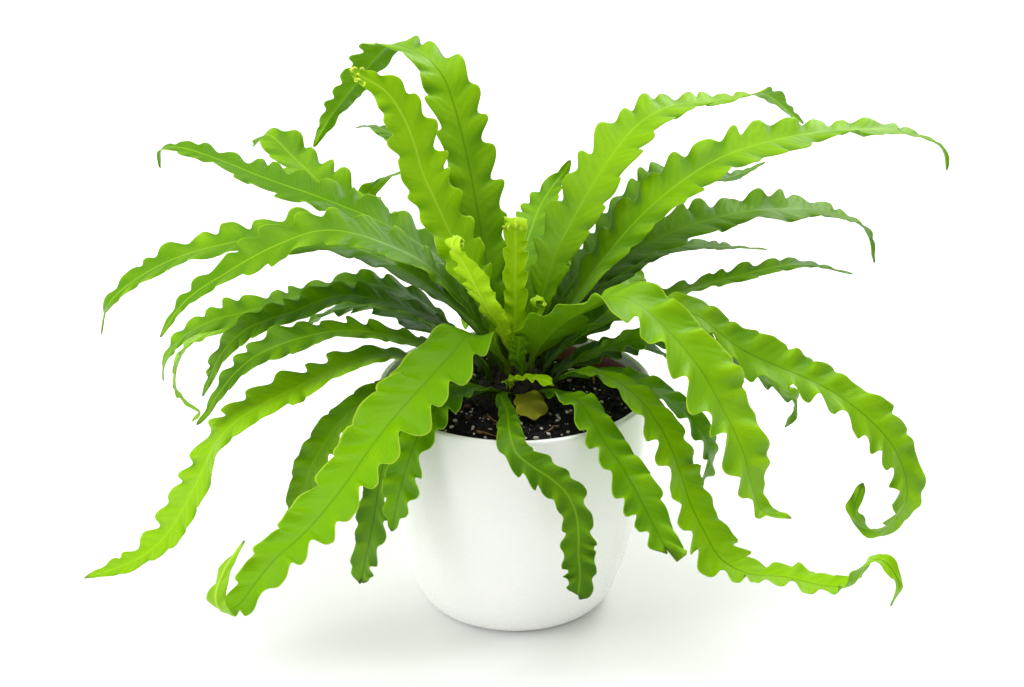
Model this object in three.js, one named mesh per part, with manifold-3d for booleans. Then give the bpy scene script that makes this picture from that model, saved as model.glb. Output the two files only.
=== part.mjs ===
// A potted bird's nest fern with waved strap fronds, in its nursery pot inside a glossy cover pot.
// Millimetres, +Z up. The origin is the middle of the cover pot's flat base, and -Y is the front.

import * as THREE from "three";
import { mergeVertices } from "three/addons/utils/BufferGeometryUtils.js";
import Module from "manifold-3d";

// The cover pot: its height, its rim, and its outside and inside as [radius, height].

const POT_HEIGHT = 138;
const POT_RIM_RADIUS = 80;
const POT_FOOT_RADIUS = 48;
const POT_FLOOR = 4;
const POT_OUTSIDE = [[54, 2], [58.5, 7], [68, 35], [75.5, 80], [78.5, 120]];
const POT_INSIDE = [[75.5, 120], [72.5, 80], [65, 35], [58, 12], [53, POT_FLOOR]];
const POT_EDGE = 1;
const POT_LIP = 2.4;
const POT_SIDES = 36;

// The nursery pot: a thin tapered pot with a lip turned out and drain holes in its floor.

const INNER_RIM_RADIUS = 75;
const INNER_LIP = 2.5;
const INNER_LIP_HEIGHT = 9;
const INNER_TOP = 132;
const INNER_FOOT_RADIUS = 52;
const INNER_WALL = 1.4;
const INNER_SIDES = 32;
const DRAIN_HOLES = 5;
const DRAIN_RADIUS = 4;
const DRAIN_RING = 30;
const DRAIN_SIDES = 8;

// The soil is highest round the crown and falls to the wall of the nursery pot.

const SOIL_TOP = 129;
const SOIL_FLAT_RADIUS = 36;
const SOIL_SHOULDER = { radius: 50, drop: 0.6 };
const SOIL_EDGE_DROP = 5;

// Pieces that rest on or stand in each other are this far apart.

const GAP = 0.3;

// The crown is a short stepped stem. Leaf stalks stand on its steps, in rings from the middle outwards.

const RINGS = [
  { radius: 5, top: 150 },
  { radius: 11, top: 144 },
  { radius: 17, top: 138 },
  { radius: 23, top: 132 },
];
const OUTER_RING = RINGS[3];
const STEP_HALF = 3;
const CROWN_RADIUS = OUTER_RING.radius + STEP_HALF;
const CROWN_FOOT = OUTER_RING.top - 12;
const CROWN_SIDES = 24;

// A blade: its thickness, its narrow stalk, and the shares of its length where the stalk ends and where the
// blade has opened to its full width.

const BLADE_THICKNESS = 0.9;
const RIB_THICKNESS = 1.7;
const STALK_HALF_WIDTH = 2.2;
const STALK_RISE = 8;
const STALK_SHARE = 0.05;
const OPEN_SHARE = 0.45;
const TAPER_SHARE = 0.5;
const TAPER_POWER = 1.8;
const TIP_HALF_WIDTH = 1.2;
const TWIST_SHARE = 0.25;

// The waves of its edges: their length, how far they crowd towards the tip, how much later the second edge
// rises than the first (radians), and the depth of the lobes and of the trough along the midrib.

const WAVE_LENGTH = 24;
const STATIONS_PER_WAVE = 3;
const WAVE_CROWDING = 0.3;
const EDGE_LAG = 2.1;
const SCALLOP = 0.08;
const FOLD = 0.16;

// The coil at the tip of a young frond: how many short steps, how far each one turns, how fast it tightens.

const COIL_STEPS = 11;
const COIL_TURN = 0.7;
const COIL_SHRINK = 0.9;

const GREENS = { dark: 0x3f7a16, mid: 0x5c9c1a, bright: 0x7fbf1c, young: 0xa4d422, old: 0x9a9630 };

// Every leaf has one row. at: the ring and azimuth where its stalk stands. az: the azimuth of the plane
// that it arches in. rib: its midrib as [out, up] or [out, up, sway] in millimetres. Then its width, how far
// it rolls round its midrib at the foot, middle and tip (degrees), the height of its waves, its tone, and
// where a row needs them, the shares of its length where it has opened to its full width and where it starts
// to taper, half the width of a blunt tip, and the radius of its coil.

const LEAVES = [
  { name: "frond_01", at: [1, 187], az: 176, width: 38, roll: [0, 6, 20], ruffle: 4, tone: "mid",
    open: 0.38,
    rib: [[28, 176], [48, 195], [84, 216], [125, 225], [168, 219], [208, 204], [238, 180], [244, 161]] },
  { name: "frond_02", at: [1, 217], az: 189, width: 33, roll: [5, 15, 20], ruffle: 3.5, tone: "mid",
    rib: [[45, 208], [72, 227], [106, 238], [134, 231], [163, 216], [186, 201], [202, 180]] },
  { name: "frond_03", at: [2, 150], az: 154, width: 33, roll: [0, 4, 10], ruffle: 4, tone: "mid",
    rib: [[42, 200], [76, 219], [124, 231], [165, 238], [203, 246], [228, 249], [242, 245], [243, 234]] },
  { name: "frond_04", at: [2, 128], az: 136, width: 32, roll: [0, 8, 10], ruffle: 3.5, tone: "mid",
    taper: 0.75,
    rib: [[50, 176], [75, 187], [104, 197], [131, 206], [153, 213], [170, 221], [195, 232], [218, 241],
      [234, 230]] },
  { name: "frond_05", at: [3, 126], az: 122, width: 26, roll: [0, 0, 0], ruffle: 3, tone: "mid",
    taper: 0.6,
    rib: [[45, 164], [80, 175], [111, 183], [150, 188], [178, 193], [188, 199, -6], [186, 206, -14],
      [180, 212, -26]] },
  { name: "frond_06", at: [1, 121], az: 134, width: 33, roll: [40, 2, -45], ruffle: 4, tone: "mid",
    open: 0.33, taper: 0.45,
    rib: [[18, 188], [25, 208], [34, 240, -1], [44, 270, -2], [54, 293, -3], [63, 308, -3], [74, 316, -2],
      [88, 320], [106, 319], [119, 309], [138, 289], [159, 268], [173, 251], [181, 240]] },
  { name: "frond_07", at: [1, 158], az: 190, width: 29, roll: [10, 60, 60], ruffle: 4, tone: "bright",
    open: 0.42, taper: 0.72,
    rib: [[20, 197], [34, 225], [41, 241], [47, 256], [53, 271], [57, 287], [64, 305], [72, 317],
      [80, 323], [91, 329]] },
  { name: "frond_08", at: [2, 107], az: 120, width: 24, roll: [0, 0, 0], ruffle: 2.5, tone: "dark",
    rib: [[32, 182], [60, 212], [105, 238], [150, 247], [185, 244], [205, 238]] },
  { name: "frond_09", at: [1, 96], az: 83, width: 23, roll: [0, 0, 10], ruffle: 2.5, tone: "mid",
    open: 0.45, taper: 0.6,
    rib: [[17, 172], [30, 190], [48, 203], [67, 210, -2], [84, 215, -4], [97, 219, -7], [110, 223, -11],
      [115, 229, -16], [116, 237, -20]] },
  { name: "frond_10", at: [1, 48], az: 43, width: 33, roll: [0, -10, 30], ruffle: 4, tone: "mid",
    open: 0.28, taper: 0.35,
    rib: [[23, 189], [33, 211], [45, 226], [59, 242], [77, 259], [94, 271], [110, 277], [128, 279],
      [146, 277], [171, 274], [196, 272], [213, 270], [227, 262], [240, 252], [254, 242]] },
  { name: "frond_11", at: [1, 10], az: 20, width: 35, roll: [0, -15, 0], ruffle: 4.5, tone: "mid",
    open: 0.35, taper: 0.4,
    rib: [[27, 170], [51, 203], [82, 235], [122, 259], [163, 268], [205, 269], [246, 264], [276, 250],
      [280, 236]] },
  { name: "frond_12", at: [2, 50], az: 50, width: 24, roll: [0, 0, 0], ruffle: 2.5, tone: "dark",
    rib: [[41, 176], [64, 192], [88, 206], [112, 219], [132, 228], [150, 229], [170, 222], [202, 210],
      [238, 207], [258, 208]] },
  { name: "frond_13", at: [2, 28], az: 27, width: 34, roll: [0, -10, -10], ruffle: 3.5, tone: "dark",
    rib: [[36, 176], [60, 197], [97, 212], [151, 218], [206, 211], [246, 192], [255, 168]] },
  { name: "frond_14", at: [3, 34], az: 35, width: 22, roll: [0, 0, 0], ruffle: 2, tone: "dark",
    rib: [[40, 168], [77, 190], [110, 197], [154, 189], [193, 179]] },
  { name: "frond_15", at: [2, 6], az: 10, width: 22, roll: [0, 0, 0], ruffle: 2.5, tone: "dark",
    rib: [[50, 172], [93, 186], [131, 195], [169, 200], [202, 192]] },
  { name: "frond_16", at: [1, -32], az: -32, width: 45, roll: [32, -5, 0], ruffle: 4.5, tone: "bright",
    open: 0.12, taper: 0.68,
    rib: [[16, 164], [28, 179], [43, 192], [58, 203], [72, 206], [92, 197], [119, 174], [134, 153],
      [147, 131], [154, 110], [161, 98], [178, 99]] },
  { name: "frond_17", at: [2, -18], az: -9, width: 32, roll: [0, -20, -50], ruffle: 3.5, tone: "mid",
    taper: 0.62,
    tip: 2.5,
    rib: [[60, 186], [100, 188], [129, 168], [187, 142], [220, 111], [229, 78], [214, 57], [201, 68],
      [204, 88]] },
  { name: "frond_18", at: [3, -2], az: -4, width: 20, roll: [0, -15, 0], ruffle: 2.5, tone: "mid",
    taper: 0.9,
    rib: [[60, 164], [98, 168], [129, 156], [150, 140], [163, 130], [158, 114]] },
  { name: "frond_19", at: [3, -38], az: -42, width: 29, roll: [0, 0, 0], ruffle: 3.5, tone: "mid",
    rib: [[45, 158], [70, 162], [92, 155], [110, 139], [120, 123], [129, 104], [140, 89], [152, 77],
      [170, 75], [194, 82], [221, 87], [235, 94], [244, 111], [253, 114], [262, 105], [259, 91]] },
  { name: "frond_20", at: [3, -20], az: -25, width: 22, roll: [0, 0, 0], ruffle: 2.5, tone: "mid",
    taper: 0.8, tip: 7,
    rib: [[45, 152], [80, 151], [103, 141], [119, 124], [119, 104], [108, 86]] },
  { name: "frond_21", at: [3, -54], az: -57, width: 25, roll: [0, 10, 0], ruffle: 3, tone: "mid",
    taper: 0.8, tip: 8,
    rib: [[42, 146], [66, 150], [78, 143], [90, 135], [103, 129], [116, 121], [127, 112], [137, 104],
      [145, 98], [151, 94]] },
  { name: "frond_22", at: [3, 18], az: 12, width: 22, roll: [0, -10, 0], ruffle: 2.5, tone: "dark",
    rib: [[40, 149], [68, 154], [86, 150], [98, 136]] },
  { name: "frond_23", at: [3, -96], az: -90, width: 17, roll: [0, 0, 0], ruffle: 2.5, tone: "dark",
    open: 0.6, taper: 0.9, tip: 6,
    rib: [[42, 148, -8], [56, 146, -5], [72, 146, -4], [86, 145, -3], [96, 140, 0], [102, 135, 8],
      [106, 130, 18], [108, 122, 27], [110, 112, 32], [111, 99, 34], [112, 87, 34], [112, 73, 35],
      [112, 59, 34]] },
  { name: "frond_24", at: [1, 243], az: 234, width: 41, roll: [0, 0, 10], ruffle: 4.5, tone: "bright",
    open: 0.25, taper: 0.3,
    rib: [[29, 172], [44, 183], [60, 177], [84, 168], [108, 159], [132, 147], [154, 134], [169, 127],
      [187, 120], [210, 115], [227, 107], [237, 102], [248, 104], [252, 114], [245, 126], [230, 136]] },
  { name: "frond_25", at: [3, 250], az: 236, width: 22, roll: [0, 0, 0], ruffle: 2.5, tone: "mid",
    taper: 0.8,
    rib: [[46, 151], [76, 153], [96, 140], [111, 118], [121, 94]] },
  { name: "frond_26", at: [3, 236], az: 224, width: 22, roll: [0, 0, 0], ruffle: 2, tone: "dark",
    taper: 0.85, tip: 7,
    rib: [[46, 143], [80, 145], [99, 126], [110, 88], [121, 51]] },
  { name: "frond_27", at: [3, 222], az: 211, width: 24, roll: [0, 5, 10], ruffle: 2.5, tone: "dark",
    taper: 0.7,
    rib: [[36, 145], [56, 150], [80, 152], [108, 144], [130, 121], [142, 95], [153, 72]] },
  { name: "frond_28", at: [3, 208], az: 206, width: 27, roll: [0, 5, 10], ruffle: 3, tone: "mid",
    taper: 0.75,
    rib: [[50, 157], [64, 165], [84, 171], [104, 170], [124, 164], [142, 159], [157, 154], [170, 148],
      [182, 138], [190, 124], [197, 112], [205, 99], [217, 85], [231, 77], [246, 74], [261, 73]] },
  { name: "frond_29", at: [3, 194], az: 203, width: 23, roll: [0, 10, 10], ruffle: 2.5, tone: "dark",
    taper: 0.6,
    rib: [[46, 165], [70, 177], [92, 185], [111, 188], [130, 187], [142, 185], [154, 181], [165, 174],
      [174, 165], [180, 157], [184, 151], [190, 146]] },
  { name: "frond_30", at: [2, 209], az: 187, width: 23, roll: [0, 10, 30], ruffle: 2.5, tone: "dark",
    taper: 0.6,
    rib: [[36, 172], [55, 184], [76, 192], [95, 197], [110, 195], [125, 189], [142, 184], [154, 179],
      [164, 170], [172, 159], [176, 149], [181, 139]] },
  { name: "frond_31", at: [2, 188], az: 169, width: 24, roll: [0, 5, 30], ruffle: 3, tone: "mid",
    taper: 0.7,
    rib: [[45, 175], [58, 185], [78, 192], [98, 192], [118, 186], [139, 178], [160, 170], [181, 163],
      [199, 153], [211, 141], [217, 129], [218, 120]] },
  { name: "frond_32", at: [2, 169], az: 160, width: 22, roll: [0, 0, 30], ruffle: 2.5, tone: "bright",
    taper: 0.7,
    rib: [[47, 164], [69, 175], [92, 179], [118, 175], [145, 163], [172, 151], [197, 142], [215, 130],
      [225, 114], [227, 98], [220, 90], [211, 84], [217, 77]] },
  { name: "frond_33", at: [2, 82], az: 80, width: 37, roll: [0, 0, 0], ruffle: 3.5, tone: "dark",
    rib: [[50, 180], [100, 193], [150, 186], [190, 154], [210, 112]] },
  { name: "frond_34", at: [3, 106], az: 100, width: 37, roll: [0, 0, 0], ruffle: 3.5, tone: "mid",
    rib: [[50, 160], [95, 172], [145, 162], [182, 127], [195, 90]] },
  { name: "frond_35", at: [3, 70], az: 62, width: 35, roll: [0, 0, 0], ruffle: 3.5, tone: "mid",
    rib: [[50, 162], [95, 174], [145, 156], [185, 112]] },
  { name: "frond_36", at: [3, 88], az: 84, width: 35, roll: [0, 0, 0], ruffle: 3.5, tone: "dark",
    rib: [[50, 154], [95, 160], [140, 140], [172, 105], [186, 72]] },
  { name: "frond_37", at: [3, 52], az: 44, width: 30, roll: [0, 0, 0], ruffle: 3, tone: "dark",
    rib: [[50, 152], [90, 160], [130, 150], [155, 130]] },
  { name: "frond_38", at: [3, 148], az: 150, width: 30, roll: [0, 0, 0], ruffle: 3, tone: "dark",
    rib: [[50, 156], [90, 166], [130, 156], [155, 135]] },
  { name: "young_frond_1", at: [0, 244], az: 236, width: 21, roll: [0, 5, 5], ruffle: 2.5, tone: "bright",
    open: 0.45, taper: 0.45, coil: 4,
    rib: [[9, 166], [16, 179], [28, 194], [39, 211], [51, 229], [61, 241]] },
  { name: "young_frond_2", at: [0, 95], az: 90, width: 13, roll: [0, 0, 0], ruffle: 2.5, tone: "young",
    open: 0.35, taper: 0.85, coil: 4.5,
    rib: [[7, 180], [9, 205], [9, 235]] },
  { name: "young_frond_3", at: [1, 290], az: 276, width: 11, roll: [0, 0, 0], ruffle: 2, tone: "dark",
    open: 0.7, taper: 0.8,
    rib: [[13, 158], [17, 167], [23, 177]] },
  { name: "young_frond_4", at: [0, 10], az: 15, width: 7, roll: [0, 0, 0], ruffle: 0.5, tone: "young",
    taper: 0.8, coil: 4,
    rib: [[10, 168], [17, 186]] },
  { name: "small_leaf", at: [2, -100], az: -30, width: 10, roll: [0, 0, 0], ruffle: 1.5, tone: "bright",
    open: 0.65, taper: 0.85, tip: 3.5,
    rib: [[8, 150, -23], [14, 152, -24], [19, 154, -24], [26, 155, -23], [33, 155, -23], [38, 153, -22]] },
  { name: "old_leaf", at: [3, -78], az: -76, width: 18, roll: [0, 0, 0], ruffle: 1.5, tone: "old",
    open: 0.6, taper: 0.7,
    rib: [[28, 140.5], [34, 138], [39, 135.5], [44, 133.5]] },
];

// Small helpers

const radians = THREE.MathUtils.degToRad;

function direction(azimuth) {
  const angle = radians(azimuth);
  return new THREE.Vector3(Math.cos(angle), Math.sin(angle), 0);
}

function smooth(x) {
  const t = THREE.MathUtils.clamp(x, 0, 1);
  return t * t * (3 - 2 * t);
}

// A value between three given ones: at the foot, the middle and the tip of a leaf.

function between([foot, middle, tip], t) {
  if (t < 0.5) {
    return foot + (middle - foot) * smooth(t * 2);
  }
  return middle + (tip - middle) * smooth(t * 2 - 1);
}

// The steps of a coil that goes on from the last two points of a route, as [out, up, sway].

function coilFrom(route, coilRadius) {
  const [before, last] = route.slice(-2);
  let heading = Math.atan2(last[1] - before[1], last[0] - before[0]);
  let [out, up, sway] = last;
  let radius = coilRadius;
  const steps = [];
  for (let i = 0; i < COIL_STEPS; i += 1) {
    heading += COIL_TURN;
    out += radius * COIL_TURN * Math.cos(heading);
    up += radius * COIL_TURN * Math.sin(heading);
    radius *= COIL_SHRINK;
    steps.push([out, up, sway]);
  }
  return steps;
}

// Where the midrib runs: straight up from its step on the crown, then through the row's own points, and for
// a young frond on into its coil.

function midrib(leaf) {
  const [ring, azimuth] = leaf.at;
  const { radius, top } = RINGS[ring];
  const foot = direction(azimuth).multiplyScalar(radius).setZ(top + GAP);
  const points = [foot, foot.clone().setZ(foot.z + STALK_RISE)];
  const route = leaf.rib.map(([out, up, sway = 0]) => [out, up, sway]);
  if (leaf.coil) {
    route.push(...coilFrom(route, leaf.coil));
  }
  const outwards = direction(leaf.az);
  const sideways = direction(leaf.az + 90);
  for (const [out, up, sway] of route) {
    points.push(outwards.clone().multiplyScalar(out).addScaledVector(sideways, sway).setZ(up));
  }
  return new THREE.CatmullRomCurve3(points, false, "centripetal");
}

// Half the blade's width at t: a narrow stalk that opens to the full width, then a long taper to the tip.

function halfWidth(leaf, t) {
  const opened = leaf.open ?? OPEN_SHARE;
  const opening = THREE.MathUtils.clamp((t - STALK_SHARE) / (opened - STALK_SHARE), 0, 1);
  const open = Math.sin((Math.PI / 2) * opening) ** 1.5;
  const start = leaf.taper ?? TAPER_SHARE;
  const past = Math.max(0, (t - start) / (1 - start));
  const width = STALK_HALF_WIDTH + (leaf.width / 2 - STALK_HALF_WIDTH) * open;
  const end = leaf.tip ?? TIP_HALF_WIDTH;
  return end + (width - end) * (1 - past ** TAPER_POWER);
}

// One leaf as a closed blade. Each station across it has an edge, the midrib and an edge, above and below.
// The waves crowd towards the tip: a station's share s is even in waves, and t is its share of the length.

function leafGeometry(leaf) {
  const curve = midrib(leaf);
  const waves = Math.max(2, Math.round(curve.getLength() / WAVE_LENGTH));
  const count = waves * STATIONS_PER_WAVE + 1;
  const rows = [];
  for (let i = 0; i < count; i += 1) {
    const s = i / (count - 1);
    const t = s * (1 + WAVE_CROWDING) - WAVE_CROWDING * s * s;
    const centre = curve.getPointAt(t);
    const tangent = curve.getTangentAt(t);
    const azimuth = leaf.at[1] + (leaf.az - leaf.at[1]) * smooth(t / TWIST_SHARE);
    const side = direction(azimuth + 90);
    side.addScaledVector(tangent, -side.dot(tangent)).normalize();
    side.applyAxisAngle(tangent, -radians(between(leaf.roll, t)));
    const up = tangent.clone().cross(side);
    const breadth = halfWidth(leaf, t);
    const waveHeight = leaf.ruffle * smooth((t - 0.05) / 0.25) * (breadth / (leaf.width / 2)) ** 0.7;
    const row = [];
    for (const edge of [1, 0, -1]) {
      const phase = 2 * Math.PI * waves * s + (edge < 0 ? EDGE_LAG : 0);
      const lobe = 1 + SCALLOP * Math.cos(phase) * smooth((t - 0.1) / 0.2);
      const half = breadth * lobe;
      const lift = edge === 0 ? 0 : FOLD * half + waveHeight * Math.sin(phase);
      const point = centre.clone().addScaledVector(side, edge * half).addScaledVector(up, lift);
      const halfThickness = (edge === 0 ? RIB_THICKNESS : BLADE_THICKNESS) / 2;
      const above = point.clone().addScaledVector(up, halfThickness);
      const below = point.clone().addScaledVector(up, -halfThickness);
      row.push([above, below]);
    }
    rows.push(row);
  }
  return bladeMesh(rows);
}

// The closed skin round the stations: upper face, lower face, both edges and the two ends. Both faces are
// split along the same diagonals, so a waved blade keeps its thickness.

function bladeMesh(rows) {
  const positions = [];
  const loop = [[0, 0], [1, 0], [2, 0], [2, 1], [1, 1], [0, 1]];
  for (const row of rows) {
    for (const [across, face] of loop) {
      positions.push(...row[across][face].toArray());
    }
  }
  const index = [];
  const n = loop.length;
  for (let i = 0; i + 1 < rows.length; i += 1) {
    const a = i * n;
    const b = a + n;
    for (let k = 0; k < n; k += 1) {
      const next = (k + 1) % n;
      if (k < 3) {
        index.push(a + k, a + next, b + k, a + next, b + next, b + k);
      } else {
        index.push(a + k, a + next, b + next, a + k, b + next, b + k);
      }
    }
  }
  const last = (rows.length - 1) * n;
  for (const [p, q, r] of [[0, 5, 1], [1, 5, 4], [1, 4, 2], [2, 4, 3]]) {
    index.push(p, q, r, last + p, last + r, last + q);
  }
  const geometry = new THREE.BufferGeometry();
  geometry.setAttribute("position", new THREE.Float32BufferAttribute(positions, 3));
  geometry.setIndex(index);
  return geometry;
}

// Turned pieces: a profile of [radius, height] points, from the axis or closed on itself, turned round +Z.

function turned(profile, sides) {
  const points = profile.map(([radius, height]) => new THREE.Vector2(radius, height));
  return new THREE.LatheGeometry(points, sides).rotateX(Math.PI / 2);
}

function coverPotGeometry() {
  return turned([
    [0, 0],
    [POT_FOOT_RADIUS, 0],
    ...POT_OUTSIDE,
    [POT_RIM_RADIUS, POT_HEIGHT - POT_EDGE],
    [POT_RIM_RADIUS - POT_EDGE, POT_HEIGHT],
    [POT_RIM_RADIUS - POT_LIP, POT_HEIGHT],
    [POT_RIM_RADIUS - POT_LIP - POT_EDGE, POT_HEIGHT - POT_EDGE],
    ...POT_INSIDE,
    [0, POT_FLOOR],
  ], POT_SIDES);
}

// The nursery pot stands on the cover pot's floor.

const INNER_BASE = POT_FLOOR + GAP;
const INNER_FLOOR = INNER_BASE + INNER_WALL;
const INNER_NECK = INNER_RIM_RADIUS - INNER_LIP;
const LIP_FOOT = INNER_TOP - INNER_LIP_HEIGHT;

function nurseryPotGeometry() {
  let pot = solid(turned([
    [0, INNER_BASE],
    [INNER_FOOT_RADIUS, INNER_BASE],
    [INNER_NECK, LIP_FOOT],
    [INNER_RIM_RADIUS, LIP_FOOT + 1],
    [INNER_RIM_RADIUS, INNER_TOP],
    [INNER_RIM_RADIUS - INNER_WALL, INNER_TOP],
    [INNER_NECK - INNER_WALL, LIP_FOOT],
    [INNER_FOOT_RADIUS - INNER_WALL, INNER_FLOOR],
    [0, INNER_FLOOR],
  ], INNER_SIDES));
  for (let i = 0; i < DRAIN_HOLES; i += 1) {
    const hole = new THREE.CylinderGeometry(DRAIN_RADIUS, DRAIN_RADIUS, 4 * INNER_WALL, DRAIN_SIDES);
    const place = direction((360 / DRAIN_HOLES) * i).multiplyScalar(DRAIN_RING);
    hole.rotateX(Math.PI / 2).translate(place.x, place.y, INNER_BASE);
    pot = pot.subtract(solid(hole));
  }
  return geometryOf(pot);
}

// The soil fills the nursery pot up to its lip, with a round socket where the crown sits.

function soilRadiusAt(height) {
  const slope = (INNER_NECK - INNER_FOOT_RADIUS) / (LIP_FOOT - INNER_FLOOR);
  return INNER_FOOT_RADIUS - INNER_WALL - GAP + slope * (height - INNER_FLOOR);
}

function soilGeometry() {
  const floor = INNER_FLOOR + GAP;
  const edge = SOIL_TOP - SOIL_EDGE_DROP;
  const socket = CROWN_RADIUS + GAP;
  return turned([
    [0, floor],
    [soilRadiusAt(floor), floor],
    [soilRadiusAt(edge), edge],
    [SOIL_SHOULDER.radius, SOIL_TOP - SOIL_SHOULDER.drop],
    [SOIL_FLAT_RADIUS, SOIL_TOP],
    [socket, SOIL_TOP],
    [socket, CROWN_FOOT - GAP],
    [0, CROWN_FOOT - GAP],
  ], INNER_SIDES);
}

function crownGeometry() {
  let height = CROWN_FOOT;
  const profile = [[0, height]];
  for (const { radius, top } of RINGS.toReversed()) {
    profile.push([radius + STEP_HALF, height], [radius + STEP_HALF, top]);
    height = top;
  }
  profile.push([0, height]);
  return turned(profile, CROWN_SIDES);
}

// Cutting holes: a mesh becomes a solid, and the solid a mesh again.

const wasm = await Module();
wasm.setup();

function solid(geometry) {
  const bare = geometry.clone();
  bare.deleteAttribute("normal");
  bare.deleteAttribute("uv");
  const merged = mergeVertices(bare, 1e-4);
  const vertProperties = Float32Array.from(merged.attributes.position.array);
  const triVerts = Uint32Array.from(merged.index.array);
  return new wasm.Manifold(new wasm.Mesh({ numProp: 3, vertProperties, triVerts }));
}

function geometryOf(manifold) {
  const { vertProperties, triVerts } = manifold.getMesh();
  const geometry = new THREE.BufferGeometry();
  geometry.setAttribute("position", new THREE.Float32BufferAttribute(vertProperties, 3));
  geometry.setIndex(Array.from(triVerts));
  return geometry;
}

// The plant

const plant = new THREE.Group();

function addPiece(name, geometry, color, roughness) {
  const mesh = new THREE.Mesh(geometry, new THREE.MeshStandardMaterial({ color, roughness, metalness: 0 }));
  mesh.name = name;
  plant.add(mesh);
}

addPiece("cover_pot", coverPotGeometry(), 0xf2f2f0, 0.15);
addPiece("nursery_pot", nurseryPotGeometry(), 0x7a3a22, 0.5);
addPiece("soil", soilGeometry(), 0x1d1713, 0.95);
addPiece("crown", crownGeometry(), 0x3b3220, 0.8);
for (const leaf of LEAVES) {
  addPiece(leaf.name, leafGeometry(leaf), GREENS[leaf.tone], 0.45);
}

export default plant;
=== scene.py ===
# %% [markdown]
# # A bird's nest fern in a white pot
# The plant is a rosette of long strap fronds. Their edges wave, and each frond arches out of a short crown
# in the middle of a nursery pot, which stands in a rounded white cover pot.
# The CAD model gives every piece its place and size. Here each piece is made again with finer waves,
# rounded edges and grains of soil, in the same place, and gets a material made of shader nodes.

# %% Load the frame
import math
from collections import namedtuple

import bmesh
import bpy
import numpy as np
from mathutils import Matrix, Vector, noise


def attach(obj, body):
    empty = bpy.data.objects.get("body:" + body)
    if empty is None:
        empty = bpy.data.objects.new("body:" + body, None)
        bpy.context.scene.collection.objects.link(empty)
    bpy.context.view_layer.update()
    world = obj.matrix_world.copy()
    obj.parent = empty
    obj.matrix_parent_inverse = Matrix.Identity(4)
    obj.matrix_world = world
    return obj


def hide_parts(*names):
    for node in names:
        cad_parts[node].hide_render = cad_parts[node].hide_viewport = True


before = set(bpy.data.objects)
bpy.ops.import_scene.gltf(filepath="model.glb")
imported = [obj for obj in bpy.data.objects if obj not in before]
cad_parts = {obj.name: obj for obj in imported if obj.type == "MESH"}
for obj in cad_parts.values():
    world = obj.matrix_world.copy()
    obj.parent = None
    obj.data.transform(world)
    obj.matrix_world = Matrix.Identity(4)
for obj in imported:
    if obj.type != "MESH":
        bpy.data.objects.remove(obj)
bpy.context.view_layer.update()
MM = 0.001
print("CAD nodes:", len(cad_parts))

# %% [markdown]
# ## Camera
# The photograph looks slightly down on the plant from a little over a metre, through a long lens. The pitch
# comes from how flat the rim and the foot of the pot look. A long lens keeps the near fronds from looming.

# %% Camera
def add_object(name, data):
    """Puts a camera, light or mesh into the scene as an object."""
    added = bpy.data.objects.new(name, data)
    bpy.context.collection.objects.link(added)
    return added


DOWNWARD_TILT = 23.39
camera_data = bpy.data.cameras.new("camera")
camera_data.sensor_width = 36
camera_data.lens = 69
camera = add_object("camera", camera_data)
camera.location = (-0.002, -1.044, 0.614)
camera.rotation_euler = (math.radians(90 - DOWNWARD_TILT), 0, 0)
bpy.context.scene.camera = camera
print("camera height", camera.location.z, "lens", camera_data.lens)

# %% [markdown]
# ## Studio
# The background is a pale floor, so bright that it has no horizon. A large plane does that. The light comes
# from all round, a little stronger from the left and from above, and some comes from behind, because
# thin leaves glow when light passes through them. The Standard view keeps the greens as strong as they are.

# %% Floor and light
LIT_POINT = Vector((0, 0, 0.15))


def add_floor(size):
    mesh = bpy.data.meshes.new("floor")
    half = size / 2
    corners = [(-half, -half, 0), (half, -half, 0), (half, half, 0), (-half, half, 0)]
    mesh.from_pydata(corners, [], [(0, 1, 2, 3)])
    paint = bpy.data.materials.new("floor_white")
    paint.use_nodes = True
    shader = paint.node_tree.nodes["Principled BSDF"]
    shader.inputs["Base Color"].default_value = (0.92, 0.92, 0.92, 1)
    shader.inputs["Roughness"].default_value = 0.6
    mesh.materials.append(paint)
    floor = add_object("floor", mesh)


def add_area_light(name, place, size, power):
    data = bpy.data.lights.new(name, "AREA")
    data.size = size
    data.energy = power
    light = add_object(name, data)
    light.location = place
    light.rotation_euler = (LIT_POINT - Vector(place)).to_track_quat("-Z", "Y").to_euler()


add_floor(14)
world = bpy.data.worlds.new("studio")
world.use_nodes = True
background = world.node_tree.nodes["Background"]
background.inputs["Color"].default_value = (1, 1, 1, 1)
background.inputs["Strength"].default_value = 0.74
bpy.context.scene.world = world
add_area_light("overhead", (0, 0.3, 3.6), 3, 90)
add_area_light("key", (-1.9, -0.6, 1.9), 0.8, 18)
add_area_light("low_left", (-1.6, -0.4, 0.4), 0.8, 9)
add_area_light("back", (0.9, 1.5, 1.3), 1.0, 20)
bpy.context.scene.view_settings.view_transform = "Standard"

# %% [markdown]
# ## Small helpers
# A mesh is made from a list of points and a list of faces. Every piece then rides on the body "root", gets
# its material, and hides the CAD node that it stands for, where it has one.

# %% Mesh helpers
def mesh_piece(name, points, faces):
    mesh = bpy.data.meshes.new(name)
    mesh.from_pydata([tuple(p) for p in points], [], faces)
    mesh.update()
    mesh.shade_smooth()
    return add_object(name, mesh)


def place_piece(piece, node, material):
    """Gives the piece its material, hangs it on the body "root" and hides the CAD node that it stands for."""
    piece.data.materials.append(material)
    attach(piece, "root")
    if node:
        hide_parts(node)


def smooth(x):
    """0 below 0, 1 above 1, and a soft step between."""
    t = np.clip(x, 0, 1)
    return t * t * (3 - 2 * t)


def direction(azimuth):
    """The level direction at an azimuth in degrees, counted from +X towards +Y."""
    angle = math.radians(azimuth)
    return np.array([math.cos(angle), math.sin(angle), 0.0])


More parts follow.
